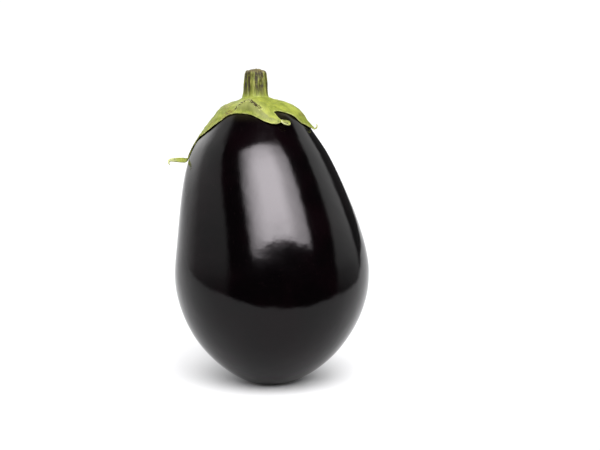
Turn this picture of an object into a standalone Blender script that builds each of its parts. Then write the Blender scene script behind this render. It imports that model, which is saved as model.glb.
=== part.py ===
"""A glossy, egg-shaped eggplant as picked, standing on a small flat spot at its blossom end.

It has three grown pieces, each one solid: the fruit, the calyx that caps it with five pointed lobes, and the
cut stem. Metres, +Z up, -Y to the front. The origin is the point where the fruit touches the table.

The pieces are first shaped in the fruit's own frame: blossom end at 0, crown up, with azimuths counted from
the front towards +X. One empty then leans them all, so that the fruit stands as it grew, slightly askew.
"""

from math import cos, degrees, hypot, pi, radians, sin

import bpy
from mathutils import Euler, Vector
from mathutils.geometry import interpolate_bezier

MM = 0.001

# Fruit
FRUIT_RADIUS = 50 * MM
FRUIT_HEIGHT = 145.9 * MM
WIDEST_HEIGHT = 58.3 * MM
SHOULDER_RADIUS = 30.6 * MM
SHOULDER_HEIGHT = 127.1 * MM
SHOULDER_SLOPE = radians(51.4)  # below the horizontal
# How far each Bezier handle reaches from its point, in the order crown, shoulder, widest place, blossom end.
CROWN_REACH = 24.7 * MM
SHOULDER_REACH_UP = 16 * MM
SHOULDER_REACH_DOWN = 15.8 * MM
WIDEST_REACH_UP = 15.7 * MM
WIDEST_REACH_DOWN = 31.7 * MM
BLOSSOM_REACH = 21.8 * MM
UPPER_DRIFT = 7.7 * MM  # the upper half grew over to the left
UPPER_DRIFT_FROM = 61.5 * MM
UPPER_DRIFT_TO = 130.7 * MM
CROWN_DRIFT = 2.3 * MM  # and the crown a little further
CROWN_DRIFT_FROM = 139 * MM
LEAN_BACK = radians(9)
LEAN_RIGHT = radians(1.1)
FLAT_DEPTH = 2 * MM  # how much the resting spot takes off the round end

# Calyx
CALYX_THICKNESS = 1.2 * MM
CALYX_GAP = 0.6 * MM
NECK_RISE = 1.2 * MM  # the calyx swells up under the stem
NECK_FLAT_RADIUS = 4.4 * MM
NECK_RADIUS = 11 * MM
TIP_SHARPNESS = 2.0  # the half width of a lobe falls with this power of the way to its tip
NOTCH_ROUNDING = 0.12
TIP_HALF_WIDTH = 1.0 * MM  # at its very end a lobe is blunt
TIP_BLUNTNESS = 4  # how soon beside its middle line a lobe has that width
HOOK_POWER = 1.5  # a lobe hooks sideways with this power of the way to its first bend

# Stem
STEM_HEIGHT = 13.5 * MM
STEM_TOP_RADIUS = 5.5 * MM
STEM_WAIST_RADIUS = 6.0 * MM
STEM_WAIST_HEIGHTS = (6 * MM, 2 * MM)  # the two Bezier handles above the foot
STEM_FOOT_RADIUS = 7.5 * MM
STEM_FOOT_EDGE = 0.3 * MM
STEM_RIM = 0.8 * MM
STEM_RIBS = 5
STEM_RIB_DEPTH = 0.25 * MM
STEM_GAP = 0.6 * MM

# Fineness of the faceted solids
FRUIT_STEPS = 54
BEZIER_POINTS = 11
LOBE_STEPS = 16
CROWDING = 2.5  # how strongly a lobe's lines crowd at its tip
CROWDING_FROM = 0.3  # the share of the notch's arc where they begin to
CALYX_RINGS = 16
CURL_STEPS = 12
STEM_STEPS = 30
STEM_POINTS = 9
STEM_UNDER_STEPS = 4

# Each lobe: the azimuth of its middle and of the notch on its clockwise side, in degrees; the arcs from the
# crown to that notch and to its own tip; the azimuth by which it hooks sideways before the tip; and its
# bends, each from one arc to another by an angle, outward if positive.
LOBES = [
    {
        "middle": 3,
        "notch": -34.5,
        "notch_arc": 23 * MM,
        "tip_arc": 37 * MM,
        "hook": 20,
        "bends": [(30.5 * MM, 37 * MM, 70)],
    },
    {
        "middle": 77,
        "notch": 21,
        "notch_arc": 21.7 * MM,
        "tip_arc": 38 * MM,
        "hook": 0,
        "bends": [(30 * MM, 38 * MM, 125)],
    },
    {
        "middle": 150,
        "notch": 122,
        "notch_arc": 22 * MM,
        "tip_arc": 48 * MM,
        "hook": -5,
        "bends": [(40 * MM, 48 * MM, 80)],
    },
    {
        "middle": 206,
        "notch": 180,
        "notch_arc": 22 * MM,
        "tip_arc": 46 * MM,
        "hook": 0,
        "bends": [(38 * MM, 46 * MM, 110)],
    },
    {
        "middle": 262,
        "notch": 232,
        "notch_arc": 22.5 * MM,
        "tip_arc": 65 * MM,
        "hook": 0,
        "bends": [(49 * MM, 55 * MM, 76), (59 * MM, 65 * MM, -90)],
    },
]


def smooth_step(low, high, value):
    share = min(1.0, max(0.0, (value - low) / (high - low)))
    return share * share * (3 - 2 * share)


def fruit_outline():
    """The fruit's outer line as (radius, height), from the crown down to the blossom end."""
    slope = Vector((cos(SHOULDER_SLOPE), -sin(SHOULDER_SLOPE)))
    crown = Vector((0, FRUIT_HEIGHT))
    shoulder = Vector((SHOULDER_RADIUS, SHOULDER_HEIGHT))
    widest = Vector((FRUIT_RADIUS, WIDEST_HEIGHT))
    blossom = Vector((0, 0))
    right = Vector((1, 0))
    up = Vector((0, 1))
    stretches = [
        (crown, crown + right * CROWN_REACH, shoulder - slope * SHOULDER_REACH_UP, shoulder),
        (shoulder, shoulder + slope * SHOULDER_REACH_DOWN, widest + up * WIDEST_REACH_UP, widest),
        (widest, widest - up * WIDEST_REACH_DOWN, blossom + right * BLOSSOM_REACH, blossom),
    ]
    line = [crown]
    for stretch in stretches:
        line += interpolate_bezier(*stretch, BEZIER_POINTS)[1:]
    return [Vector((max(0.0, point.x), point.y)) for point in line]


OUTLINE = fruit_outline()


def outline_at(arc):
    """(point, direction downwards) on the fruit's outline, at this arc from the crown."""
    left = arc
    for start, end in zip(OUTLINE, OUTLINE[1:]):
        step = (end - start).length
        if left <= step:
            return start.lerp(end, left / step), (end - start) / step
        left -= step
    raise ValueError("the arc is longer than the fruit's outline")


def drift(height):
    """How far the fruit's axis has grown over to the left at this height."""
    upper = UPPER_DRIFT * smooth_step(UPPER_DRIFT_FROM, UPPER_DRIFT_TO, height)
    crown = CROWN_DRIFT * smooth_step(CROWN_DRIFT_FROM, FRUIT_HEIGHT, height)
    return -upper - crown


def around(azimuth, radius, height):
    """The point of the drifted fruit's frame at this azimuth, in radians from the front towards +X."""
    return Vector((radius * sin(azimuth) + drift(height), -radius * cos(azimuth), height))


def turned(name, line, steps):
    """An object turned about Z from a line of (radius, height) that runs down its outer side."""
    mesh = bpy.data.meshes.new(name + "_line")
    points = [(point[0], 0, point[1]) for point in line]
    mesh.from_pydata(points, [(i, i + 1) for i in range(len(points) - 1)], [])
    lathe = bpy.data.objects.new(name + "_line", mesh)
    bpy.context.scene.collection.objects.link(lathe)
    screw = lathe.modifiers.new("Screw", "SCREW")
    screw.steps = steps
    screw.render_steps = steps
    screw.use_merge_vertices = True
    screw.merge_threshold = 0.00001
    bpy.context.view_layer.update()
    graph = bpy.context.evaluated_depsgraph_get()
    solid = bpy.data.objects.new(name, bpy.data.meshes.new_from_object(lathe.evaluated_get(graph)))
    bpy.data.objects.remove(lathe)
    solid.data.name = name
    solid.data.shade_smooth()
    return solid


def paint(piece, colour, roughness):
    material = bpy.data.materials.new(piece.name)
    material.use_nodes = True
    shader = material.node_tree.nodes["Principled BSDF"]
    shader.inputs["Base Color"].default_value = (*colour, 1)
    shader.inputs["Roughness"].default_value = roughness
    shader.inputs["Metallic"].default_value = 0
    piece.data.materials.clear()
    piece.data.materials.append(material)


def make_fruit():
    """The berry: a turned egg shape whose upper half has drifted to one side."""
    fruit = turned("fruit", OUTLINE, FRUIT_STEPS)
    for vertex in fruit.data.vertices:
        vertex.co.x += drift(vertex.co.z)
    paint(fruit, (0.012, 0.006, 0.011), 0.12)
    return fruit


def lobe_spans():
    """(lobe, the notches' azimuths and arcs on its two sides) for each lobe, azimuths in degrees."""
    following = LOBES[1:] + [{**LOBES[0], "notch": LOBES[0]["notch"] + 360}]
    return [
        (lobe, (lobe["notch"], lobe["notch_arc"]), (after["notch"], after["notch_arc"]))
        for lobe, after in zip(LOBES, following)
    ]


def margin_arc(notch_arc, tip_arc, way):
    """How far the margin lies from the crown, where way runs from 0 at the notch to 1 at the tip."""
    rounded = (1 + NOTCH_ROUNDING) * way * way / (way + NOTCH_ROUNDING)
    return notch_arc + (tip_arc - notch_arc) * rounded


def calyx_height(arc):
    """How far the middle of the calyx's thickness stands off the fruit."""
    neck = NECK_RISE * (1 - smooth_step(NECK_FLAT_RADIUS, NECK_RADIUS, arc))
    return CALYX_GAP + CALYX_THICKNESS / 2 + neck


def on_calyx(azimuth, arc):
    """The calyx's middle surface where it lies on the fruit, with its direction downwards and its normal."""
    point, down = outline_at(arc)
    out = Vector((-down.y, down.x))
    point = point + out * calyx_height(arc)
    along = around(azimuth, down.x, 0) - around(azimuth, 0, 0) + Vector((0, 0, down.y))
    normal = around(azimuth, out.x, 0) - around(azimuth, 0, 0) + Vector((0, 0, out.y))
    return around(azimuth, point.x, point.y), along, normal


def on_lobe(lobe, sideways, arc):
    """A point of a lobe: sideways is its azimuth from the lobe's middle line, in radians."""
    first_bend = lobe["bends"][0][0]
    share = max(0.0, min(arc, first_bend) - lobe["notch_arc"]) / (first_bend - lobe["notch_arc"])
    azimuth = radians(lobe["middle"] + lobe["hook"] * share**HOOK_POWER) + sideways
    if arc <= first_bend:
        return on_calyx(azimuth, arc)[0]
    # Past its first bend the lobe leaves the fruit and follows a flat curve of its own.
    point, along, normal = on_calyx(azimuth, first_bend)
    step = (arc - first_bend) / CURL_STEPS
    for i in range(CURL_STEPS):
        at = first_bend + (i + 0.5) * step
        turn = sum(
            radians(angle) * min(1.0, max(0.0, (at - start) / (end - start)))
            for start, end, angle in lobe["bends"]
        )
        point = point + (along * cos(turn) + normal * sin(turn)) * step
    return point


def make_calyx():
    """The cap: a disc whose rim is drawn out into lobes, laid on the fruit and given a thickness."""
    spans = lobe_spans()
    labels = LOBE_STEPS * len(LOBES)
    rings = [(i / CALYX_RINGS, 0) for i in range(CALYX_RINGS + 1)]
    calyx = turned("calyx", rings, labels)
    for vertex in calyx.data.vertices:
        share = hypot(vertex.co.x, vertex.co.y)
        angle = (degrees(Vector((1, 0)).angle_signed(vertex.co.xy, 0.0)) * -1) % 360
        label = round(angle / 360 * labels) % labels
        lobe, before, after = spans[label // LOBE_STEPS]
        # From -1 at one notch over 0 at the tip to 1 at the other notch.
        across = 2 * (label % LOBE_STEPS) / LOBE_STEPS - 1
        notch, notch_arc = before if across < 0 else after
        half = abs(notch - lobe["middle"])
        narrow = abs(across) ** CROWDING
        arc = share * margin_arc(notch_arc, lobe["tip_arc"], 1 - narrow ** (1 / TIP_SHARPNESS))
        # Near the crown the lines are spread evenly, and towards the margin they crowd at the tip.
        crowd = smooth_step(CROWDING_FROM, 1.0, arc / notch_arc)
        spread = abs(across) * (1 - crowd) + narrow * crowd
        blunt = min(1.0, TIP_BLUNTNESS * abs(across)) * (1 - narrow) * TIP_HALF_WIDTH
        wide = crowd * blunt / (outline_at(arc)[0].x + MM)
        sideways = (radians(half * spread) + wide) * (1 if across > 0 else -1)
        vertex.co = on_lobe(lobe, sideways, arc)
    shell = calyx.modifiers.new("Thickness", "SOLIDIFY")
    shell.thickness = CALYX_THICKNESS
    shell.offset = 0
    paint(calyx, (0.31, 0.40, 0.09), 0.5)
    return calyx


def stem_outline():
    """The stem's outer line from the middle of its cut face down to its foot, which follows the calyx."""

    def foot(radius):
        point = outline_at(radius)[0]
        return point.y + calyx_height(radius) + CALYX_THICKNESS / 2 + STEM_GAP

    top = foot(0) + STEM_HEIGHT
    low = foot(STEM_FOOT_RADIUS)
    side = interpolate_bezier(
        Vector((STEM_TOP_RADIUS, top - STEM_RIM)),
        Vector((STEM_WAIST_RADIUS, low + STEM_WAIST_HEIGHTS[0])),
        Vector((STEM_WAIST_RADIUS, low + STEM_WAIST_HEIGHTS[1])),
        Vector((STEM_FOOT_RADIUS, low + STEM_FOOT_EDGE)),
        STEM_POINTS,
    )
    rim = [(0, top), (STEM_TOP_RADIUS - STEM_RIM, top)]
    radii = [STEM_FOOT_RADIUS * i / STEM_UNDER_STEPS for i in range(STEM_UNDER_STEPS, -1, -1)]
    under = [(radius, foot(radius)) for radius in radii]
    return rim + [(point.x, point.y) for point in side] + under


def make_stem():
    """The cut stalk, with shallow ribs along it."""
    stem = turned("stem", stem_outline(), STEM_STEPS)
    for vertex in stem.data.vertices:
        flat = vertex.co.xy
        if flat.length > STEM_TOP_RADIUS - STEM_RIM:
            azimuth = Vector((0, -1)).angle_signed(flat)
            flat = flat * (1 - STEM_RIB_DEPTH / flat.length * (1 + cos(STEM_RIBS * azimuth)))
        vertex.co.xy = flat
        vertex.co.x += drift(vertex.co.z)
    paint(stem, (0.20, 0.22, 0.07), 0.6)
    return stem


def lowest_point(lean):
    """The lowest point of the leaning fruit, in its own frame."""
    points = [
        around(azimuth * pi / 180, point.x, point.y) for point in OUTLINE for azimuth in range(0, 360, 2)
    ]
    return min(points, key=lambda point: (lean @ point).z)


def main():
    for old in list(bpy.data.objects):
        bpy.data.objects.remove(old)
    eggplant = bpy.data.collections.new("eggplant")
    cutters = bpy.data.collections.new("cutters")
    for collection in (eggplant, cutters):
        bpy.context.scene.collection.children.link(collection)

    lean = Euler((-LEAN_BACK, LEAN_RIGHT, 0))
    stand = bpy.data.objects.new("stand", None)
    touch = lean.to_matrix() @ lowest_point(lean.to_matrix())
    stand.rotation_euler = lean
    stand.location = -touch - Vector((0, 0, FLAT_DEPTH))
    eggplant.objects.link(stand)

    fruit = make_fruit()
    for piece in (fruit, make_calyx(), make_stem()):
        eggplant.objects.link(piece)
        piece.parent = stand

    # The resting spot is where the table, a block with its top at height 0, cuts the round end.
    bpy.ops.mesh.primitive_cube_add(size=2 * FRUIT_RADIUS, location=(0, 0, -FRUIT_RADIUS))
    table = bpy.context.object
    table.name = "table"
    for collection in table.users_collection:
        collection.objects.unlink(table)
    cutters.objects.link(table)
    table.hide_render = True
    table.display_type = "WIRE"
    flat = fruit.modifiers.new("Resting spot", "BOOLEAN")
    flat.operation = "DIFFERENCE"
    flat.object = table


main()
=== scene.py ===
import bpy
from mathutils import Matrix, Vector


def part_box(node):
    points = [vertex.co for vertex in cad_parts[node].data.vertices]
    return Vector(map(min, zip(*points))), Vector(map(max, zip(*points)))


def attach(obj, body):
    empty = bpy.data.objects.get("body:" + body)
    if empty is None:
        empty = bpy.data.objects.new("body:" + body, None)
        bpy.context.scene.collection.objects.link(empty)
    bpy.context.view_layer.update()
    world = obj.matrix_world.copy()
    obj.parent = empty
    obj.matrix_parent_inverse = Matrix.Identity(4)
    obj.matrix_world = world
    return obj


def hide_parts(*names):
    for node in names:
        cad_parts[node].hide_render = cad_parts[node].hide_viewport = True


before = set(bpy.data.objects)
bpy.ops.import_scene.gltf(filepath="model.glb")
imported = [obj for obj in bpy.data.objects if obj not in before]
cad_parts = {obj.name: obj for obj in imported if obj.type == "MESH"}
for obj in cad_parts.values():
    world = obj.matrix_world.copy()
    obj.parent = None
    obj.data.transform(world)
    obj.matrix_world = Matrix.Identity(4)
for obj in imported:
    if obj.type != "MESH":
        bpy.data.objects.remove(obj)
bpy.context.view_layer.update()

from types import SimpleNamespace

import bpy
import numpy as np
from mathutils import Euler, Matrix, Vector

# Everything is measured in hundredths of the fruit's width, which is very nearly a millimetre.
fruitLow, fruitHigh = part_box("fruit")
unit = (fruitHigh.x - fruitLow.x) / 100
print(f"frame loaded: {sorted(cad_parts)}, one unit is {unit * 1000:.3f} mm")


def smooth(low, high, x):  # 0 below low, 1 above high, with level ends
    share = np.clip((x - low) / (high - low), 0, 1)
    return share * share * (3 - 2 * share)


def bump(middle, width, x):  # a bell of height 1
    return np.exp(-(((x - middle) / width) ** 2))


def bezier(start, handleA, handleB, end):  # cubic: (1-t)^3 A + 3(1-t)^2 t B + 3(1-t) t^2 C + t^3 D
    t = np.linspace(0, 1, 300)[:, None]
    return (1 - t) ** 3 * start + 3 * (1 - t) ** 2 * t * handleA + 3 * (1 - t) * t**2 * handleB + t**3 * end


def blurred(values, spread, reach=4):  # Gaussian, its spread in values, cut off after reach spreads
    half = int(reach * spread)
    weight = np.exp(-0.5 * (np.arange(-half, half + 1) / spread) ** 2)
    return np.convolve(values, weight / weight.sum(), "valid")


def lengthAlong(line):  # how far along the line each of its points is
    return np.concatenate([[0], np.cumsum(np.linalg.norm(np.diff(line, axis=0), axis=1))])


def pointsAt(places, along, line):
    return np.stack([np.interp(places, along, line[:, axis]) for axis in range(2)], -1)


def stacked(*coordinates):
    return np.stack(np.broadcast_arrays(*coordinates), -1)


def waves(points, size, seed, count=24):
    # sum of sine waves that run in random directions, each about one size long, scaled to spread about 1
    rng = np.random.default_rng(seed)
    way = rng.normal(size=(count, 3))
    way /= np.linalg.norm(way, axis=1, keepdims=True)
    way *= (2 * np.pi / size) * rng.uniform(0.6, 1.4, (count, 1))
    start = rng.uniform(0, 2 * np.pi, count)
    total = np.zeros(points.shape[:-1])
    for one, phase in zip(way, start):
        total += np.sin(points @ one + phase)
    return total * np.sqrt(2 / count)


def polesShrunk(rows):  # the grid's places in one list, its first and last rows shrunk to one place each
    inner = rows[1:-1].reshape(-1, rows.shape[-1])
    return np.concatenate([rows[0].mean(0)[None], inner, rows[-1].mean(0)[None]])


def gridPiece(name, grid, attributes):
    # rows run from one pole to the other, columns run round
    rows, columns = grid.shape[:2]
    points = polesShrunk(grid)
    row = np.arange(rows - 3)[:, None] * columns + 1
    here = np.arange(columns)[None]
    after = (here + 1) % columns
    below = row + columns
    quads = np.stack([row + here, below + here, below + after, row + after], -1).reshape(-1, 4)
    here, after = here[0] + 1, after[0] + 1
    lastRow = (rows - 3) * columns
    top = np.stack([np.zeros_like(here), here, after], -1)
    bottom = np.stack([np.full_like(here, len(points) - 1), after + lastRow, here + lastRow], -1)
    corners = np.concatenate([top.ravel(), quads.ravel(), bottom.ravel()])
    sizes = np.concatenate([np.full(len(top), 3), np.full(len(quads), 4), np.full(len(bottom), 3)])
    mesh = bpy.data.meshes.new(name)
    mesh.vertices.add(len(points))
    mesh.vertices.foreach_set("co", points.astype(np.float32).ravel())
    mesh.loops.add(len(corners))
    mesh.loops.foreach_set("vertex_index", corners.astype(np.int32))
    mesh.polygons.add(len(sizes))
    mesh.polygons.foreach_set("loop_start", (np.cumsum(sizes) - sizes).astype(np.int32))
    mesh.update(calc_edges=True)
    mesh.validate()
    mesh.shade_smooth()
    for label, values in attributes.items():
        flat = polesShrunk(values.reshape(rows, columns, -1))
        kind, field = ("FLOAT", "value") if flat.shape[1] == 1 else ("FLOAT_VECTOR", "vector")
        mesh.attributes.new(label, kind, "POINT").data.foreach_set(field, flat.astype(np.float32).ravel())
    piece = bpy.data.objects.new(name, mesh)
    bpy.context.scene.collection.objects.link(piece)
    print(f"{name}: {len(points)} points, {int((sizes - 2).sum())} triangles")
    return piece


def nodeTools(tree):
    def plug(value, socket):
        if isinstance(value, bpy.types.NodeSocket):
            tree.links.new(value, socket)
        elif socket.type == "RGBA":
            socket.default_value = (*value, 1)
        else:
            socket.default_value = value

    def add(kind, inputs=None, **settings):
        node = tree.nodes.new(kind)
        for key, value in settings.items():
            setattr(node, key, value)
        for key, value in (inputs or {}).items():
            plug(value, node.inputs[key])
        return node

    def maths(operation, *values):
        return add("ShaderNodeMath", dict(enumerate(values)), operation=operation).outputs[0]

    def noise(vector, scale, detail=3.0, rough=0.5):
        inputs = {"Vector": vector, "Scale": scale, "Detail": detail, "Roughness": rough}
        return add("ShaderNodeTexNoise", inputs).outputs["Fac"]

    def ramp(value, stops):  # grey values at given places, straight between them
        first, last = stops[0][0], stops[-1][0]
        share = maths("DIVIDE", maths("SUBTRACT", value, first), last - first)
        node = add("ShaderNodeValToRGB", {"Fac": share})
        marks = node.color_ramp.elements
        for place, grey in stops[1:-1]:
            marks.new((place - first) / (last - first))
        for mark, (place, grey) in zip(marks, stops):
            mark.color = (grey, grey, grey, 1)
        return node.outputs[0]

    def mix(share, first, second):
        return add("ShaderNodeMix", {0: share, 6: first, 7: second}, data_type="RGBA").outputs[2]

    def attribute(name, output="Fac"):
        return add("ShaderNodeAttribute", attribute_name=name).outputs[output]

    def relief(*layers):  # bumps one over the other, each from a height and the metres that it stands for
        under = {}
        for height, rise in layers:
            layer = add("ShaderNodeBump", {"Height": height, "Strength": 1.0, "Distance": rise, **under})
            under = {"Normal": layer.outputs[0]}
        return under["Normal"]

    return SimpleNamespace(plug=plug, add=add, maths=maths, noise=noise, ramp=ramp, mix=mix,
                           attribute=attribute, relief=relief)


def newMaterial(name):
    material = bpy.data.materials.new(name)
    material.use_nodes = True
    return material, material.node_tree.nodes["Principled BSDF"].inputs, nodeTools(material.node_tree)


# The fruit's own shape, which the calyx and the stem follow.
fruitShape = {
    "radius": 50, "widestAt": 58.3, "crownAt": 145.9,
    "shoulder": (30.6, 127.1), "shoulderSlope": 51.4,
    "reach": {"crown": 24.7, "shoulderUp": 16, "shoulderDown": 15.8, "widestUp": 15.7, "widestDown": 31.7,
              "blossom": 21.8},
    "drift": 7.7, "driftFrom": 61.5, "driftTo": 130.7, "neckDrift": 2.3, "neckFrom": 139,
    "leanBack": 9, "leanRight": 1.1, "flatDepth": 2.0,
    "blur": 3.0, "steps": 2400,
}


def fruitOutline(shape):
    # three cubic curves from the crown over the shoulder and the widest place to the blossom end,
    # spaced evenly and blurred a little, so that the bend changes gently from one to the next
    reach = shape["reach"]
    slope = np.radians(shape["shoulderSlope"])
    down = np.array([np.cos(slope), -np.sin(slope)])
    crown, blossom = np.array([0.0, shape["crownAt"]]), np.array([0.0, 0.0])
    shoulder, widest = np.array(shape["shoulder"]), np.array([shape["radius"], shape["widestAt"]], float)
    above, below = shoulder - down * reach["shoulderUp"], shoulder + down * reach["shoulderDown"]
    line = np.concatenate([
        bezier(crown, crown + [reach["crown"], 0], above, shoulder)[:-1],
        bezier(shoulder, below, widest + [0, reach["widestUp"]], widest)[:-1],
        bezier(widest, widest - [0, reach["widestDown"]], blossom + [reach["blossom"], 0], blossom),
    ])
    arc = lengthAlong(line)
    even = np.linspace(0, arc[-1], shape["steps"])
    radius, height = pointsAt(even, arc, line).T
    spread = shape["blur"] / even[1]
    half = int(4 * spread)
    radius = blurred(np.concatenate([-radius[half:0:-1], radius, -radius[-2:-half - 2:-1]]), spread)
    height = blurred(np.concatenate([height[half:0:-1], height, height[-2:-half - 2:-1]]), spread)
    # nowhere hollow: no place is steeper than any place below it
    slope = np.abs(np.arctan2(-np.gradient(height, even), np.gradient(radius, even)))
    slope = np.minimum.accumulate(slope[::-1])[::-1]
    slope = blurred(np.pad(slope, int(2 * spread), "edge"), spread / 2)
    radius = np.cumsum(np.cos(slope)) * even[1]
    height = shape["crownAt"] - np.cumsum(np.sin(slope)) * even[1]
    radius -= radius[0] + (radius[-1] - radius[0]) * even / even[-1]
    height -= height[-1] * even / even[-1]
    return even, radius, height, np.gradient(radius, even), np.gradient(height, even)


outlineArc, outlineRadius, outlineHeight, radiusStep, heightStep = fruitOutline(fruitShape)
fruitLength = outlineArc[-1]


def driftAt(height):  # how far the axis has moved to the left at this height
    body = fruitShape["drift"] * smooth(fruitShape["driftFrom"], fruitShape["driftTo"], height)
    return -body - fruitShape["neckDrift"] * smooth(fruitShape["neckFrom"], fruitShape["crownAt"], height)


def overFruit(azimuth, arc, lift=0.0):
    # the point at this arc from the crown, moved out by lift at right angles to the outline;
    # azimuth 0 is the front
    radius = np.interp(arc, outlineArc, outlineRadius)
    height = np.interp(arc, outlineArc, outlineHeight)
    middle = driftAt(height)
    radius = radius - lift * np.interp(arc, outlineArc, heightStep)
    height = height + lift * np.interp(arc, outlineArc, radiusStep)
    return stacked(radius * np.sin(azimuth) + middle, -radius * np.cos(azimuth), height)


leanAngles = (-np.radians(fruitShape["leanBack"]), np.radians(fruitShape["leanRight"]), 0)
leanTurn = np.array(Euler(leanAngles).to_matrix())
probe = (overFruit(np.linspace(0, 2 * np.pi, 720)[None], outlineArc[::6, None]) @ leanTurn.T).reshape(-1, 3)
boxMiddle = (np.array(fruitLow) + np.array(fruitHigh)) / 2 / unit
foot = (probe.min(0) + probe.max(0)) / 2 - boxMiddle
foot[2] = probe[:, 2].min() + fruitShape["flatDepth"] - fruitLow.z / unit


def stand(points):  # from the fruit's own axes into the room: lean, set down inside the frame's fruit, scale
    return (points @ leanTurn.T - foot) * unit


# Noise scales count per metre, those of fibres per unit; rises are in metres; ramps list (place, share).
skinFinish = {
    "colour": (0.0009, 0.0004, 0.0007), "warmer": (0.0022, 0.0006, 0.0012),
    "underCap": (0.030, 0.026, 0.012),
    "clouds": 38, "cloudRamp": [(0.42, 0.0), (0.62, 1.0)],
    "dots": 420, "dotRamp": [(0.0, 1.0), (0.10, 0.35), (0.17, 0.0)], "dotShare": 0.10,
    "dot": (0.08, 0.05, 0.05),
    "corkGrain": 900, "corkDark": (0.10, 0.060, 0.030), "corkPale": (0.26, 0.18, 0.10), "corkDull": 0.5,
    "dullPatches": 60, "dullRange": (0.3, 0.7), "roughness": (0.08, 0.14), "ior": 1.25,
    "ripples": 260, "rippleRise": 0.000035, "pores": 2600, "poreRise": 0.000010,
}
fruitSkin = {
    "columns": 288, "rows": 320,
    "waves": [(0.07, 46), (0.012, 12), (0.003, 4.5)], "calmAtScar": 12, "calmAtCrown": 6,
    "flutes": 5, "fluteHeight": 0.22, "fluteTurn": 0.6, "fluteAt": 30, "fluteReach": 16,
    "scarRadius": 3.2, "scarDepth": 0.5, "scarPoints": 5, "scarPointing": 0.12, "scarEdge": 0.75,
    "flatRounding": 0.35, "underCap": (16, 30),
}


def skinMaterial(finish):
    material, shader, node = newMaterial("waxy dark skin")
    place = node.add("ShaderNodeTexCoord").outputs["Object"]
    clouds = node.ramp(node.noise(place, finish["clouds"], 4), finish["cloudRamp"])
    colour = node.mix(clouds, finish["colour"], finish["warmer"])
    cells = node.add("ShaderNodeTexVoronoi", {"Vector": place, "Scale": finish["dots"]}).outputs["Distance"]
    dots = node.maths("MULTIPLY", node.ramp(cells, finish["dotRamp"]), finish["dotShare"])
    colour = node.mix(dots, colour, finish["dot"])
    colour = node.mix(node.attribute("underCap"), colour, finish["underCap"])
    scar = node.attribute("scar")
    cork = node.mix(node.noise(place, finish["corkGrain"]), finish["corkDark"], finish["corkPale"])
    node.plug(node.mix(scar, colour, cork), shader["Base Color"])
    patches = node.noise(place, finish["dullPatches"], 5)
    low, high = finish["dullRange"]
    glossiest, dullest = finish["roughness"]
    span = {"Value": patches, "From Min": low, "From Max": high, "To Min": glossiest, "To Max": dullest}
    dull = node.add("ShaderNodeMapRange", span).outputs[0]
    dull = node.maths("ADD", dull, node.maths("MULTIPLY", scar, finish["corkDull"]))
    node.plug(dull, shader["Roughness"])
    node.plug(finish["ior"], shader["IOR"])
    ripples = node.noise(place, finish["ripples"], 2)
    pores = node.noise(place, finish["pores"], 2)
    node.plug(node.relief((ripples, finish["rippleRise"]), (pores, finish["poreRise"])), shader["Normal"])
    return material


def skinLift(azimuth, arc):
    # long swells, small dents, finer ripples and, round the shoulder, shallow flutes; azimuth in degrees
    look = fruitSkin
    azimuth = np.radians(azimuth)
    plain = overFruit(azimuth, arc)
    lift = sum(high * waves(plain, size, seed) for seed, (high, size) in enumerate(look["waves"], 11))
    flutes = look["fluteHeight"] * np.cos(look["flutes"] * azimuth + look["fluteTurn"])
    lift = lift + flutes * bump(look["fluteAt"], look["fluteReach"], arc)
    return lift * smooth(0, look["calmAtScar"], fruitLength - arc) * smooth(0, look["calmAtCrown"], arc)


def makeFruit(look):
    # a turned outline with a drifting axis and an uneven skin, pressed flat where it rests
    azimuth = np.linspace(0, 2 * np.pi, look["columns"], endpoint=False)[None]
    arc = np.linspace(0, fruitLength, look["rows"])[:, None]
    scarSize = look["scarRadius"] * (1 + look["scarPointing"] * np.cos(look["scarPoints"] * azimuth))
    scar = 1 - smooth(look["scarEdge"], 1.0, (fruitLength - arc) / scarSize)
    lift = skinLift(np.degrees(azimuth), arc) - look["scarDepth"] * scar
    points = overFruit(azimuth, arc, lift) @ leanTurn.T - foot
    soft = look["flatRounding"]
    points[..., 2] = soft * np.logaddexp(0, points[..., 2] / soft)  # a soft maximum of the height and 0
    points[..., 2] -= points[..., 2].min()
    underCap = (1 - smooth(*look["underCap"], arc)) * np.ones_like(lift)
    piece = gridPiece("fruit_skin", points * unit, {"scar": scar, "underCap": underCap})
    piece.data.materials.append(skinMaterial(skinFinish))
    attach(piece, "root")
    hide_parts("fruit")


makeFruit(fruitSkin)


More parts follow.
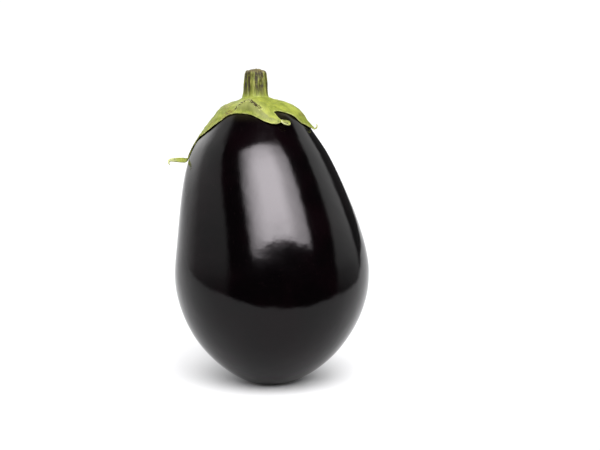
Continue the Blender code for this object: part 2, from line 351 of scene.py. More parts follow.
# The calyx: five lobes drawn in a flat plan, then laid over the fruit. Its places are (azimuth in degrees,
# arc from the crown). A horn is the narrow strip that each lobe ends in: base, heading (0 runs straight
# down, 90 sideways to growing azimuth), half width, length, and turns as (from, to, outward bend, sideways
# swing, twist) in degrees over that part of its length. A crest is a line of (azimuth, arc, height), after
# the side on which a flat face lies beside it: -1 right, 1 left, 0 none. The neck is the range of azimuth
# that the lobe starts from.
lobes = [
    {
        "left": [(-128, 22.5), (-124, 27), (-118, 34), (-109, 43)],
        "right": [(-95, 46.5), (-91, 43), (-82, 40), (-72, 37.2), (-64, 34.2), (-58.5, 31), (-51.5, 27.8),
                  (-44.5, 24.9), (-34.5, 23.5)],
        "horn": {"base": (-98, 51), "heading": 2, "width": 1.75, "length": 15, "turns": [
            (0, 3.0, 80, 0, -70), (3.0, 11, 4, 6, -20), (11, 15, 0, 165, 0)]},
        "crests": [(0, [(-98, 8, 0.2), (-96, 22, 0.2), (-97, 44, 0.3), (-98, 51, 0.2)])],
        "neck": (-128, -34), "flow": 1.6,
    },
    {
        "left": [(-34.5, 23.5), (-31, 23.5), (-25.5, 23.7), (-11.5, 24.6), (-2, 26.5), (5.5, 28.3),
                 (13.5, 30.1), (20, 30.2)],
        "right": [(24.0, 26.9), (22.3, 25.2), (20.2, 23.2), (21.5, 21.9)],
        "horn": {"base": (25.2, 28.5), "heading": 78, "width": 0.8, "length": 12, "turns": [
            (0, 2.4, 10, 8, 0), (2.4, 3.6, 0, -25, 0), (3.6, 6.6, 0, -158, -20), (6.6, 9.0, 0, -14, 0),
            (9.0, 11.4, 0, -115, 0)]},
        "crests": [
            (-1, [(-11, 14.6, 2.3), (-2.5, 18.7, 2.1), (5.5, 23.2, 1.4), (13, 26.5, 0.8), (24, 28.3, 0.4)]),
            (1, [(-11, 14.6, 2.3), (-27, 17.6, 1.7), (-34.5, 21.7, 0.6)]),
            (0, [(-20, 6, 0.6), (-11, 14.6, 2.1)])],
        "neck": (-34, 20), "flow": 4,
    },
    {
        "left": [(21.5, 21.9), (27, 21.4), (36, 21.6), (41.5, 22.2), (46, 23.8), (51.5, 25.9), (58, 28.9),
                 (68, 31.3)],
        "right": [(88, 32), (98, 29.8), (110, 26), (122, 22)],
        "horn": {"base": (77, 32.3), "heading": 14, "width": 1.1, "length": 4.6, "turns": [
            (0, 1.0, 58, 0, 0), (1.0, 4.2, 115, 0, 20)]},
        "crests": [(0, [(55, 8, 0.4), (66, 18, 0.7), (75, 28, 0.4), (79, 35, 0.2)])],
        "neck": (20, 122), "flow": 1.6,
    },
    {
        "left": [(122, 22), (129, 29), (136, 36)],
        "right": [(155, 36.5), (166, 29.5), (180, 22)],
        "horn": {"base": (145, 41), "heading": -6, "width": 1.5, "length": 8, "turns": [
            (0, 4, 30, 0, 0), (4, 7.5, 60, 0, 20)]},
        "crests": [(0, [(152, 8, 0.3), (149, 24, 0.8), (145, 42, 0.3)])],
        "neck": (122, 180), "flow": 1.6,
    },
    {
        "left": [(180, 22), (190, 27.5), (198, 33.5)],
        "right": [(213, 34), (222, 28), (232, 22.5)],
        "horn": {"base": (206, 38.5), "heading": 5, "width": 1.4, "length": 8, "turns": [
            (0, 3, 25, 0, 0), (3, 7.5, 110, 0, 0)]},
        "crests": [(0, [(206, 8, 0.3), (206, 22, 0.8), (206, 40, 0.3)])],
        "neck": (180, 232), "flow": 1.6,
    },
]
foldedLobe = 1  # the front one, whose two flat-faced crests are cracked open
calyxLook = {
    "columns": 148, "rows": 50, "rowCrowding": 0.92, "underRows": 24, "rimRows": 7,
    "marginPoints": 260, "marginBlur": 0.35, "hornSteps": 240, "hornReach": 3,
    "thickness": 0.7, "hornThickness": 0.6, "edge": 0.4, "gap": 0.05, "neck": 3.0,
    "marginLift": 0.3, "marginReach": 2.4, "looseSize": 9, "looseFrom": (16, 24), "hornThinning": (-4, 2),
    "wrinkle": 0.09, "wrinkleSizes": (2.6, 6.5), "smoothMargin": 3.0, "smoothHorn": (1, 6), "hornBlend": 1.5,
    "collar": 2.6, "collarReach": 5.5, "bead": 0.08, "beadAt": 0.4, "beadWidth": 0.35,
    "crestRounding": 0.2, "crestReach": 2.2, "foldReach": 3.6, "faceReach": 5.5,
    "crackReach": (1.9, 1.2), "rightCrackTo": (1.6, 2.3), "leftCrackFrom": (0.1, 0.3),
    # faceEdge and faceMargin bound the painted shade on the folded lobe's flat face
    "faceEdge": 0.8, "faceMargin": (0.8, 3.5), "marginBand": 3, "paleTip": (0.35, 0.9), "fullRidge": 1.2,
    "flowRadius": 14,
    "swells": [(70, 11, 8, 1.0), (88, 17, 6, 1.2), (180, 10, 8, 0.4)],
    "lifts": [(25, 28.5, 5, 1.1), (79, 34, 4, 0.8), (-92, 51, 6, 0.5), (145, 41, 6, 0.8), (206, 38, 6, 0.8)],
    "scuffs": [(-46, 26, 2.6), (-58, 17, 3.0), (-42, 23, 2.0), (-66, 30, 1.6), (70, 24, 1.6), (84, 16, 1.4)],
}
calyxFinish = {
    "bright": (0.30, 0.335, 0.045), "mid": (0.175, 0.21, 0.022), "dark": (0.062, 0.075, 0.007),
    "pale": (0.50, 0.52, 0.17), "tip": (0.56, 0.58, 0.28), "brown": (0.030, 0.018, 0.006),
    "rust": (0.20, 0.13, 0.035), "roughness": 0.5, "gloss": 0.09,
    "blotches": 260, "blotchRamp": [(0.38, 0.0), (0.62, 1.0)],
    "fibres": 2.2, "fibreStretch": 0.16, "fibreRamp": [(0.50, 0.0), (0.66, 0.55)], "fibreRise": 0.0004,
    # the two shares set how strongly the folded lobe's flat face is darkened as painted shade and the crests
    # are lightened as painted highlight
    "faceShadeShare": 0.8, "ridgeHighlightShare": 0.30, "marginRamp": [(0.0, 1.0), (0.07, 0.8), (0.16, 0.0)],
    # noise that breaks up the pale margin, which is partly the edge's own worn colour and partly a painted
    # rim highlight
    "edgeWearAndGlint": 420, "edgeWearAndGlintRamp": [(0.40, 0.25), (0.60, 1.0)],
    "scuffGrain": 900, "rustRamp": [(0.42, 0.0), (0.56, 0.9)], "speckRamp": [(0.56, 0.0), (0.62, 1.0)],
    "crackPull": 0.25, "paleTearNoise": 0.65, "tearNoise": 0.6,
    "paleTears": 750, "paleTearRamp": [(0.50, 0.0), (0.56, 0.7)],
    "tears": 1100, "tearRamp": [(0.49, 0.0), (0.525, 1.0)], "grain": 1400, "grainRise": 0.00012,
}


def toPlan(azimuth, arc):
    turn = np.radians(azimuth)
    return np.stack([arc * np.sin(turn), -arc * np.cos(turn)], -1)


def toPolar(plan, middle):  # azimuth kept within half a turn of the middle one
    azimuth = np.degrees(np.arctan2(plan[..., 0], -plan[..., 1]))
    return middle + (azimuth - middle + 180) % 360 - 180, np.linalg.norm(plan, axis=-1)


def evenly(line, count, blur):  # points at equal steps along a line, blurred first but with its ends kept
    along = lengthAlong(line)
    dense = np.linspace(0, along[-1], 1200)
    line = pointsAt(dense, along, line)
    spread = blur / dense[1]
    half = int(3 * spread)
    padded = np.concatenate([2 * line[0] - line[half:0:-1], line, 2 * line[-1] - line[-2:-half - 2:-1]])
    line = np.stack([blurred(padded[:, axis], spread, reach=3) for axis in range(2)], -1)
    along = lengthAlong(line)
    return pointsAt(np.linspace(0, along[-1], count), along, line)


def nearest(points, line):
    # for every point: distance to the line, corners passed on the way along it, and side (1 on its left)
    best = np.full(points.shape[:-1], 1e9)
    share, side = np.zeros_like(best), np.ones_like(best)
    for k, (start, end) in enumerate(zip(line[:-1], line[1:])):
        way = end - start
        t = np.clip(((points - start) @ way) / (way @ way), 0, 1)
        away = points - start - t[..., None] * way
        gap = np.linalg.norm(away, axis=-1)
        closer = gap < best
        best = np.where(closer, gap, best)
        share = np.where(closer, k + t, share)
        side = np.where(closer, np.sign(way[0] * away[..., 1] - way[1] * away[..., 0]), side)
    return best, share, side


def lobeOutline(lobe):  # the plan of one lobe's margin, from its left notch round the horn to the right one
    horn = lobe["horn"]
    base = toPlan(*horn["base"])
    down, across = toPlan(horn["base"][0], 1.0), toPlan(horn["base"][0] + 90, 1.0)
    turn = np.radians(horn["heading"])
    along = down * np.cos(turn) + across * np.sin(turn)
    aside = across * np.cos(turn) - down * np.sin(turn)
    t = np.linspace(0, 1, 90)  # the horn's half width goes as (1 - t^3)^0.6 (1 - 0.45 t)
    half = horn["width"] * (1 - t**3) ** 0.6 * (1 - 0.45 * t)
    leftEdge = base + along * (horn["length"] * t)[:, None] - aside * half[:, None]
    rightEdge = base + along * (horn["length"] * t[::-1])[:, None] + aside * half[::-1, None]
    left, right = [np.array([toPlan(*place) for place in lobe[side]]) for side in ("left", "right")]
    return np.concatenate([left, leftEdge, rightEdge[1:], right]), base, along, aside


def hornFrames(horn, start, steps):  # place, sideways and outward direction, turned step by step
    place, along, out = start
    frames = []
    step = horn["length"] * 1.02 / steps
    for k in range(steps + 1):
        aside = np.cross(out, along)
        frames.append(np.stack([place, aside, out]))
        for begin, end, bend, swing, twist in horn["turns"]:
            if begin <= k * step < end:
                share = np.radians(step / (end - begin))
                turned = along + share * (bend * out + swing * aside)
                out = out - share * (bend * along + twist * aside)
                along = turned
        along = along / np.linalg.norm(along)
        out = out - along * (along @ out)
        out = out / np.linalg.norm(out)
        place = place + along * step
    return np.array(frames), step


def spots(plan, places):  # sum of soft round spots (azimuth, arc, radius, height), 1 high if not given
    total = 0
    for azimuth, arc, radius, *height in places:
        distance = np.linalg.norm(plan - toPlan(azimuth, arc), axis=-1)
        total = total + (height[0] if height else 1.0) * bump(0, radius, distance)
    return total


def overSkin(azimuth, arc, lift):  # azimuth in degrees, lift from the uneven skin
    return overFruit(np.radians(azimuth), arc, lift + skinLift(azimuth, arc))


def calyxSheets(look):
    # each column of the grid runs from the neck to one place on the margin and back under the sheet; its
    # azimuth goes as start + (end - start) * share^flow, and inside a horn it runs parallel to the horn's
    # middle line
    rim = look["edge"] * (1 - np.cos(np.linspace(0, np.pi / 2, look["rimRows"])))
    topShare = np.linspace(0, 1, look["rows"] + 1) ** look["rowCrowding"]
    underShare = np.linspace(0, 1, look["underRows"] + 1)
    for number, lobe in enumerate(lobes):
        outline, base, along, aside = lobeOutline(lobe)
        margin = evenly(outline, look["marginPoints"], look["marginBlur"])
        ends = evenly(outline, look["columns"] + 1, look["marginBlur"])[:-1]
        ahead, beside = (ends - base) @ along, (ends - base) @ aside
        inHorn = (ahead > 0) & (np.abs(beside) < look["hornReach"])
        ahead = np.where(inHorn, ahead, 0)
        gate = np.where(inHorn[:, None], base + beside[:, None] * aside, ends)
        gateAzimuth, gateArc = toPolar(gate, lobe["horn"]["base"][0])
        neckAzimuth = np.linspace(*lobe["neck"], look["columns"] + 1)[:-1]
        bodyLength = gateArc - look["neck"]
        length = bodyLength + ahead
        for top, share in ((True, topShare), (False, underShare)):
            t = np.concatenate([share[:-1, None] * (length - look["edge"]), length - rim[::-1, None]])
            body = np.clip(t / bodyLength, 0, 1)
            azimuth = neckAzimuth + (gateAzimuth - neckAzimuth) * body ** lobe["flow"]
            arc = look["neck"] + body * bodyLength
            hornAt = np.maximum(t - bodyLength, 0)
            plan = toPlan(azimuth, arc) + hornAt[..., None] * along
            yield SimpleNamespace(
                folded=number == foldedLobe, horn=lobe["horn"], top=top, azimuth=azimuth, arc=arc,
                ahead=hornAt, beside=beside, plan=plan, fromMargin=nearest(plan, margin)[0],
                base=base, along=along, aside=aside)


def crestPlan(line):
    return np.array([toPlan(azimuth, arc) for azimuth, arc, height in line])


def ridgeHeights(plan, look):
    # beside a crest its height falls off as exp(-distance / reach), and on a flat face in a straight line
    ridge = np.zeros(plan.shape[:-1])
    for lobe in lobes:
        for face, line in lobe["crests"]:
            distance, share, side = nearest(plan, crestPlan(line))
            height = np.interp(share, np.arange(len(line)), [high for azimuth, arc, high in line])
            away = np.hypot(distance, look["crestRounding"]) - look["crestRounding"]
            fall = np.exp(-away / (look["foldReach"] if face else look["crestReach"]))
            if face:
                fall = np.where(side * face > 0, np.clip(1 - away / look["faceReach"], 0, 1), fall)
            ridge = np.maximum(ridge, height * fall)
    return ridge


def sheetLevels(sheet, look):
    # height of the sheet's middle over the skin, the grid's height over that middle, and the ridges
    plan, edge = sheet.plan, sheet.fromMargin
    space = stacked(plan[..., 0], plan[..., 1], 0.0)
    loose = look["marginLift"] * (1 + 0.5 * waves(space, look["looseSize"], 31))
    gap = look["gap"] + loose * np.exp(-edge / look["marginReach"]) * smooth(*look["looseFrom"], sheet.arc)
    gap = np.maximum(gap, look["gap"]) + spots(plan, look["lifts"])
    thinner = (look["thickness"] - look["hornThickness"]) * smooth(*look["hornThinning"], sheet.ahead)
    thick = look["thickness"] - thinner
    ridge = ridgeHeights(plan, look)
    relief = look["collar"] * bump(look["neck"], look["collarReach"], sheet.arc)
    relief = relief + spots(plan, look["swells"]) + ridge
    fine, coarse = look["wrinkleSizes"]
    relief = relief + look["wrinkle"] * (waves(space, fine, 41) * 0.5 + waves(space, coarse, 43))
    relief = relief * smooth(0, look["smoothMargin"], edge) * (1 - smooth(*look["smoothHorn"], sheet.ahead))
    relief = relief + look["bead"] * bump(look["beadAt"], look["beadWidth"], edge)
    rounding = np.sqrt(1 - (1 - np.clip(edge / look["edge"], 0, 1)) ** 2)
    half = thick / 2 * rounding
    return gap + thick / 2, half + relief * rounding if sheet.top else -half, ridge


def hornStart(sheet, look):  # place, direction along the horn and outward direction at its base, on the skin
    step = 0.6

    def onSkin(plan):
        rise = look["gap"] + look["marginLift"] * 0.7 + spots(plan, look["lifts"]) + look["thickness"] / 2
        return overSkin(*toPolar(plan, sheet.horn["base"][0]), rise)

    place = onSkin(sheet.base)
    ahead = place - onSkin(sheet.base - step * sheet.along)
    ahead = ahead / np.linalg.norm(ahead)
    out = np.cross(ahead, onSkin(sheet.base + step * sheet.aside) - place)
    return place, ahead, out / np.linalg.norm(out)


def sheetPoints(sheet, middle, level, look):  # laid over the skin, and in the horn along its turned frames
    body = overSkin(sheet.azimuth, sheet.arc, middle + level)
    skinned = overSkin(*toPolar(sheet.plan, sheet.horn["base"][0]), middle + level)
    frames, step = hornFrames(sheet.horn, hornStart(sheet, look), look["hornSteps"])
    at = sheet.ahead / step
    index = np.clip(at.astype(int), 0, len(frames) - 2)
    part = (at - index)[..., None, None]
    place, aside, out = np.moveaxis(frames[index] * (1 - part) + frames[index + 1] * part, -2, 0)
    inHorn = place + sheet.beside[:, None] * aside + level[..., None] * out
    blend = smooth(0, look["hornBlend"], sheet.ahead)[..., None]
    return np.where(sheet.ahead[..., None] > 0, skinned * (1 - blend) + inHorn * blend, body)


def sheetMasks(sheet, ridge, look):
    # the crack runs along the folded lobe's two crests, and the flat face lies between them; that face gets
    # painted shade, darkened as if turned away from the light
    rightArm, leftArm = [crestPlan(line) for face, line in lobes[foldedLobe]["crests"] if face]
    distance, share, side = nearest(sheet.plan, rightArm)
    otherDistance, otherShare, otherSide = nearest(sheet.plan, leftArm)
    wide, narrow = look["crackReach"]
    crack = bump(0, wide, distance) * (1 - smooth(*look["rightCrackTo"], share))
    crack = np.maximum(crack, bump(0, narrow, otherDistance) * smooth(*look["leftCrackFrom"], otherShare))
    # painted shade: the folded lobe's flat face, to be darkened as if it faced away from the light
    face = (side < 0) & (otherSide > 0) & sheet.folded
    face = face * smooth(0, look["faceEdge"], np.minimum(distance, otherDistance))
    face = face * smooth(*look["faceMargin"], sheet.fromMargin)
    return {
        "margin": np.clip(sheet.fromMargin / look["marginBand"], 0, 1),
        "crack": crack * sheet.folded,
        "face": face,
        "scuff": np.clip(spots(sheet.plan, look["scuffs"]), 0, 1),
        "tip": smooth(*look["paleTip"], sheet.ahead / sheet.horn["length"]),
        # painted highlight: crests lighter the higher they stand
        "ridge": np.clip(ridge / look["fullRidge"], 0, 1),
        "flow": stacked(np.radians(sheet.azimuth) * look["flowRadius"], sheet.arc + sheet.ahead, 0.0),
    }


def makeCalyx(look):
    sides = {True: [], False: []}
    for sheet in calyxSheets(look):
        middle, level, ridge = sheetLevels(sheet, look)
        masks = sheetMasks(sheet, ridge, look)
        sides[sheet.top].append({"points": sheetPoints(sheet, middle, level, look), **masks})

    def wrapped(name):  # out over the upper side and back along the underside
        top, under = [np.concatenate([values[name] for values in parts], 1) for parts in sides.values()]
        return np.concatenate([top[:1], top, under[-2::-1], under[:1]])

    values = {name: wrapped(name) for name in sides[True][0]}
    piece = gridPiece("calyx_lobes", stand(values.pop("points")), values)
    piece.data.materials.append(calyxMaterial(calyxFinish))
    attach(piece, "root")
    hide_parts("calyx")


def calyxMaterial(finish):
    material, shader, node = newMaterial("leathery green")
    attribute, maths, mix, noise, ramp = node.attribute, node.maths, node.mix, node.noise, node.ramp
    place = node.add("ShaderNodeTexCoord").outputs["Object"]
    stretch = {"Vector": attribute("flow", "Vector"), "Scale": (1.0, finish["fibreStretch"], 1.0)}
    fibre = noise(node.add("ShaderNodeMapping", stretch).outputs[0], finish["fibres"], 4, 0.6)
    blotch = ramp(noise(place, finish["blotches"], 4, 0.55), finish["blotchRamp"])
    colour = mix(blotch, finish["mid"], finish["bright"])
    colour = mix(ramp(fibre, finish["fibreRamp"]), colour, finish["dark"])
    # painted shade: the flat face mixed toward dark green
    colour = mix(maths("MULTIPLY", attribute("face"), finish["faceShadeShare"]), colour, finish["dark"])
    # painted highlight: raised crests mixed toward pale
    colour = mix(maths("MULTIPLY", attribute("ridge"), finish["ridgeHighlightShare"]), colour, finish["pale"])
    # pale margin: partly the edge's own paler, worn colour, partly a painted rim highlight where light
    # catches the edge
    wornAndGlinting = ramp(noise(place, finish["edgeWearAndGlint"]), finish["edgeWearAndGlintRamp"])
    edge = maths("MULTIPLY", ramp(attribute("margin"), finish["marginRamp"]), wornAndGlinting)
    colour = mix(edge, colour, finish["pale"])
    colour = mix(attribute("tip"), colour, finish["tip"])
    patches = noise(place, finish["scuffGrain"], 4, 0.6)
    for stops, stain in (("rustRamp", "rust"), ("speckRamp", "brown")):
        share = maths("MULTIPLY", attribute("scuff"), ramp(patches, finish[stops]))
        colour = mix(share, colour, finish[stain])
    nearCrack = maths("MULTIPLY", attribute("crack"), finish["crackPull"])
    paleTear = noise(place, finish["paleTears"], 2)
    paleTear = maths("MULTIPLY_ADD", paleTear, finish["paleTearNoise"], nearCrack)
    colour = mix(ramp(paleTear, finish["paleTearRamp"]), colour, finish["pale"])
    tear = noise(place, finish["tears"], 3, 0.6)
    tear = maths("MULTIPLY_ADD", tear, finish["tearNoise"], nearCrack)
    colour = mix(ramp(tear, finish["tearRamp"]), colour, finish["brown"])
    node.plug(colour, shader["Base Color"])
    node.plug(finish["roughness"], shader["Roughness"])
    node.plug(finish["gloss"], shader["Specular IOR Level"])
    grain = noise(place, finish["grain"])
    node.plug(node.relief((fibre, finish["fibreRise"]), (grain, finish["grainRise"])), shader["Normal"])
    return material


makeCalyx(calyxLook)


stemLook = {
    "columns": 220, "rows": 64, "cutRows": 17, "height": 15.0, "foot": 2.0, "crownLift": 1.6,
    "profile": [(-2, 9.6), (-1, 8.3), (0, 7.4), (1.0, 6.75), (2.5, 6.35), (5, 6.15), (9.3, 5.9), (12.7, 5.6),
                (14.2, 5.45)],
    "ribs": [(0.168, 5, 0.8), (0.144, 11, 2.0), (0.096, 18, 0.0)], "ribTwist": 0.015,
    "lines": 0.09, "lineSize": 1.7, "torn": 0.12, "tornSize": 1.8, "cutRounding": 1.8, "cutRise": 0.7,
    "reliefFrom": (-0.5, 2), "flowRadius": 6, "lineStretch": 0.25, "deepGroove": 0.45, "cutBand": (1.5, 0.4),
}
stemFinish = {
    "green": (0.12, 0.135, 0.014), "light": (0.30, 0.30, 0.060), "foot": (0.31, 0.36, 0.055),
    "brown": (0.026, 0.016, 0.004), "cut": (0.050, 0.036, 0.010), "paleCut": (0.20, 0.17, 0.07),
    "roughness": 0.5, "gloss": 0.09, "footRamp": [(0.0, 1.0), (0.35, 0.0)],
    "fibres": 1.3, "fibreStretch": 0.12, "fibreRamp": [(0.46, 0.0), (0.60, 1.0)], "fibreRise": 0.0005,
    "blotches": 330, "grooveRamp": [(0.30, 0.0), (0.62, 1.0)], "blotchRamp": [(0.36, 0.3), (0.52, 1.0)],
    "climbRamp": [(0.05, 0.1), (0.45, 0.95)], "grain": 1500, "grainRise": 0.0001,
}


def stemOutline(look):  # heights and radii from the middle of the foot to the middle of the cut end
    rounding = look["cutRounding"]
    straight = np.linspace(-look["foot"], look["height"] - rounding, look["rows"])
    at, radius = np.array(look["profile"]).T
    side = np.interp(np.concatenate([[-look["foot"]], straight]), at, radius)
    side[3:-3] = np.convolve(side, np.ones(5) / 5, "same")[3:-3]
    side[0] = 0
    turn = np.linspace(0, np.pi / 2, 7)[1:]
    inward = np.linspace(1, 0, look["cutRows"] + 1)[1:]
    cut = radius[-1] - rounding
    dome = look["height"] + look["cutRise"] * (1 - inward**2)
    heights = [[-look["foot"]], straight, look["height"] - rounding + rounding * np.sin(turn), dome]
    radii = [side, cut + rounding * np.cos(turn), cut * inward]
    return np.concatenate(heights)[:, None], np.concatenate(radii)[:, None]


def makeStem(look):
    # radius follows the listed profile; ribs add cosines of the azimuth that drift a little as they climb;
    # the cut end is a shallow dome with a torn rim
    heights, side = stemOutline(look)
    azimuth = np.linspace(0, 2 * np.pi, look["columns"], endpoint=False)[None]
    drifted = azimuth + look["ribTwist"] * heights
    ribs = sum(high * np.cos(count * drifted + turn) for high, count, turn in look["ribs"])
    around = look["flowRadius"]
    stretched = stacked(around * np.sin(azimuth), -around * np.cos(azimuth), heights * look["lineStretch"])
    relief = ribs + look["lines"] * waves(stretched, look["lineSize"], 51, 40)
    radius = side + relief * smooth(*look["reliefFrom"], heights) * np.clip(side / 5, 0, 1)
    flat = stacked(side * np.sin(azimuth), side * np.cos(azimuth), 0.0)
    torn = look["torn"] * waves(flat, look["tornSize"], 57)
    heights = heights + torn * smooth(look["height"] - look["cutRounding"], look["height"], heights)
    x = radius * np.sin(azimuth) + driftAt(fruitShape["crownAt"])
    points = stacked(x, -radius * np.cos(azimuth), heights + fruitShape["crownAt"] + look["crownLift"])
    bandFrom, bandTo = look["cutBand"]
    values = {
        "groove": np.clip(0.5 - relief / look["deepGroove"], 0, 1),
        "cut": smooth(look["height"] - bandFrom, look["height"] - bandTo, heights),
        "climb": np.clip(heights / look["height"], 0, 1),
        "flow": stacked(azimuth * around, heights, 0.0),
    }
    piece = gridPiece("stem_stalk", stand(points)[::-1], {name: mask[::-1] for name, mask in values.items()})
    piece.data.materials.append(stemMaterial(stemFinish))
    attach(piece, "root")
    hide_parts("stem")


def stemMaterial(finish):
    material, shader, node = newMaterial("ribbed stalk")
    attribute, maths, mix, noise, ramp = node.attribute, node.maths, node.mix, node.noise, node.ramp
    place = node.add("ShaderNodeTexCoord").outputs["Object"]
    stretch = {"Vector": attribute("flow", "Vector"), "Scale": (1.0, finish["fibreStretch"], 1.0)}
    fibre = noise(node.add("ShaderNodeMapping", stretch).outputs[0], finish["fibres"], 5, 0.65)
    blotch = noise(place, finish["blotches"], 4, 0.6)
    colour = mix(ramp(fibre, finish["fibreRamp"]), finish["green"], finish["light"])
    colour = mix(ramp(attribute("climb"), finish["footRamp"]), colour, finish["foot"])
    mark = ramp(attribute("groove"), finish["grooveRamp"])
    mark = maths("MULTIPLY", mark, ramp(blotch, finish["blotchRamp"]))
    mark = maths("MULTIPLY", mark, ramp(attribute("climb"), finish["climbRamp"]))
    colour = mix(mark, colour, finish["brown"])
    colour = mix(attribute("cut"), colour, mix(blotch, finish["cut"], finish["paleCut"]))
    node.plug(colour, shader["Base Color"])
    node.plug(finish["roughness"], shader["Roughness"])
    node.plug(finish["gloss"], shader["Specular IOR Level"])
    grain = noise(place, finish["grain"])
    node.plug(node.relief((fibre, finish["fibreRise"]), (grain, finish["grainRise"])), shader["Normal"])
    return material


makeStem(stemLook)


# The studio: a white table, a large soft lamp in front and above, and pale walls on both sides and behind.
# Fades and walls are lists of (place, brightness): across and up the lamp in metres, around and upward in
# degrees.
studio = {
    "tableEdge": [(1.2, 1.2), (-1.5, 1.2), (-1.0, 0.32), (-0.455, -0.06), (-0.2, -0.165), (0.0, -0.155),
                  (0.11, -0.114), (0.192, -0.059), (0.31, 0.138)],
    "table": (0.86, 0.86, 0.87), "tableRoughness": 0.9,
    "lampCentre": (0.135, -0.633, 0.875), "lampAim": (-0.032, -0.030, 0.0855),
    "lampAcross": (0.946, 0.321, 0.046), "lampSize": (1.72, 1.0), "lampShine": 39,
    "lampTint": (1.0, 0.935, 0.985),
    "lampAcrossFade": [(-0.82, 0.0), (-0.7, 0.17), (-0.6, 0.34), (-0.5, 0.54), (-0.4, 0.70), (-0.3, 0.87),
                       (-0.2, 0.98), (-0.05, 1.0), (0.15, 1.0), (0.27, 0.80), (0.37, 0.58), (0.5, 0.46),
                       (0.62, 0.34), (0.70, 0.0)],
    "lampUpFade": [(-0.47, 0.0), (-0.45, 0.75), (-0.3, 0.95), (-0.15, 1.0), (0.0, 1.0), (0.1, 0.93),
                   (0.2, 0.77), (0.3, 0.64), (0.36, 0.50), (0.40, 0.0)],
    "lampTaper": 0.4, "lampBow": 0.5, "fillSize": (1.32, 0.96), "fillBehind": 0.02, "fill": 4.1,
    "ambient": 1.5,
    "around": [(-180, 1.5), (-150, 3.0), (-124, 3.2), (-114, 2.4), (-103, 1.35), (-54, 1.35), (-48, 0.0),
               (80, 0.0), (86, 1.75), (125, 1.75), (131, 0.05), (165, 0.05), (180, 1.5)],
    "upward": [(-16, 0.08), (0, 0.38), (10, 0.74), (20, 1.0), (44, 1.12), (51, 0.05)],
    "slant": 76, "dark": 0.04, "backdrop": 1.05,
    "cameraElevation": 11.5, "cameraDistance": 1.05, "lens": 122.8, "aim": (0.0149, 0.0, 0.0816),
}


def areaLight(name, look, size, radiance, diffuse, away=0.0):
    lamp = bpy.data.lights.new(name, "AREA")
    lamp.shape = "RECTANGLE"
    lamp.size, lamp.size_y = size
    lamp.energy = radiance * np.pi * size[0] * size[1]
    centre = Vector(look["lampCentre"])
    back = (centre - Vector(look["lampAim"])).normalized()
    across = Vector(look["lampAcross"])
    side = (across - back * back.dot(across)).normalized()
    holder = bpy.data.objects.new(name, lamp)
    holder.matrix_world = Matrix((side, back.cross(side), back)).transposed().to_4x4()
    holder.location = centre + away * back
    holder.visible_camera = False
    holder.visible_diffuse = diffuse
    holder.visible_glossy = not diffuse
    bpy.context.scene.collection.objects.link(holder)
    return lamp


def makeLights(look):
    # two lamps one behind the other: only the front one shows in gloss, only the rear one lights matt
    # things
    areaLight("soft lamp on matt things", look, look["fillSize"], look["fill"], True, look["fillBehind"])
    lamp = areaLight("soft lamp in gloss", look, look["lampSize"], look["lampShine"], False)
    lamp.color = look["lampTint"]
    # its brightness fades by x / (1 - taper * y) sideways and by y * (1 - bow * x^2) up and down
    lamp.use_nodes = True
    node = nodeTools(lamp.node_tree)
    place = node.add("ShaderNodeNewGeometry").outputs["Parametric"]
    split = node.add("ShaderNodeSeparateXYZ", {"Vector": place}).outputs
    x, y = [node.maths("MULTIPLY", node.maths("SUBTRACT", split[axis], 0.5), look["lampSize"][axis])
            for axis in range(2)]
    taper = node.maths("SUBTRACT", 1.0, node.maths("MULTIPLY", y, look["lampTaper"]))
    bow = node.maths("SUBTRACT", 1.0, node.maths("MULTIPLY", node.maths("MULTIPLY", x, x), look["lampBow"]))
    across = node.ramp(node.maths("DIVIDE", x, taper), look["lampAcrossFade"])
    upward = node.ramp(node.maths("MULTIPLY", y, bow), look["lampUpFade"])
    node.plug(node.maths("MULTIPLY", across, upward), lamp.node_tree.nodes["Emission"].inputs["Strength"])


def makeTable(look):
    mesh = bpy.data.meshes.new("table")
    edge = look["tableEdge"]
    mesh.from_pydata([(x, y, 0) for x, y in edge], [], [range(len(edge))])
    table = bpy.data.objects.new("table", mesh)
    bpy.context.scene.collection.objects.link(table)
    material, shader, node = newMaterial("white table")
    node.plug(look["table"], shader["Base Color"])
    node.plug(look["tableRoughness"], shader["Roughness"])
    node.plug(0.0, shader["Specular IOR Level"])
    mesh.materials.append(material)


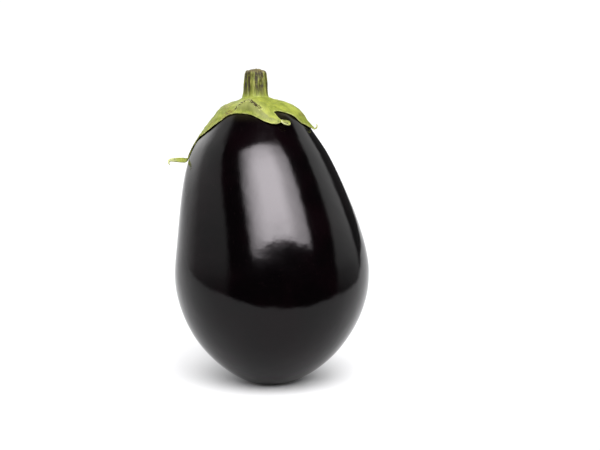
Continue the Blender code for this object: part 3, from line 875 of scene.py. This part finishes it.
def makeWorld(look):
    # white for the camera, soft light from above for matt things; glossy things see a dark room with pale
    # walls on both sides and behind, whose near edges lean away from the front by slant * sin(elevation)^2
    # degrees
    world = bpy.data.worlds.new("studio")
    bpy.context.scene.world = world
    world.use_nodes = True
    world.node_tree.nodes.clear()
    node = nodeTools(world.node_tree)
    add, maths, ramp = node.add, node.maths, node.ramp
    way = add("ShaderNodeTexCoord").outputs["Generated"]
    x, y, z = add("ShaderNodeSeparateXYZ", {"Vector": way}).outputs
    up = maths("MAXIMUM", z, 0.0)
    azimuth = maths("MULTIPLY", maths("ARCTAN2", x, maths("MULTIPLY", y, -1.0)), 180 / np.pi)
    lean = maths("MULTIPLY", maths("MULTIPLY", up, up), look["slant"])
    leant = maths("SUBTRACT", maths("ABSOLUTE", azimuth), lean)
    around = ramp(maths("MULTIPLY", maths("SIGN", azimuth), leant), look["around"])
    elevation = maths("MULTIPLY", maths("ARCSINE", z), 180 / np.pi)
    gloss = maths("ADD", maths("MULTIPLY", around, ramp(elevation, look["upward"])), look["dark"])
    ray = add("ShaderNodeLightPath").outputs
    matt = maths("MULTIPLY", up, look["ambient"])
    both = add("ShaderNodeMix", {0: ray["Is Diffuse Ray"], 2: gloss, 3: matt}).outputs[0]
    final = add("ShaderNodeMix", {0: ray["Is Camera Ray"], 2: both, 3: look["backdrop"]}).outputs[0]
    background = add("ShaderNodeBackground", {"Color": final})
    add("ShaderNodeOutputWorld", {"Surface": background.outputs[0]})


def makeCamera(look):
    lens = bpy.data.cameras.new("camera")
    lens.sensor_width = 36
    lens.lens = look["lens"]
    lens.clip_start = 0.02
    holder = bpy.data.objects.new("camera", lens)
    up = np.radians(look["cameraElevation"])
    holder.location = Vector(look["aim"]) + look["cameraDistance"] * Vector((0, -np.cos(up), np.sin(up)))
    holder.rotation_euler = (np.pi / 2 - up, 0, 0)
    bpy.context.scene.collection.objects.link(holder)
    bpy.context.scene.camera = holder
    bpy.context.scene.view_settings.view_transform = "Standard"


makeLights(studio)
makeTable(studio)
makeWorld(studio)
makeCamera(studio)
print("studio ready")
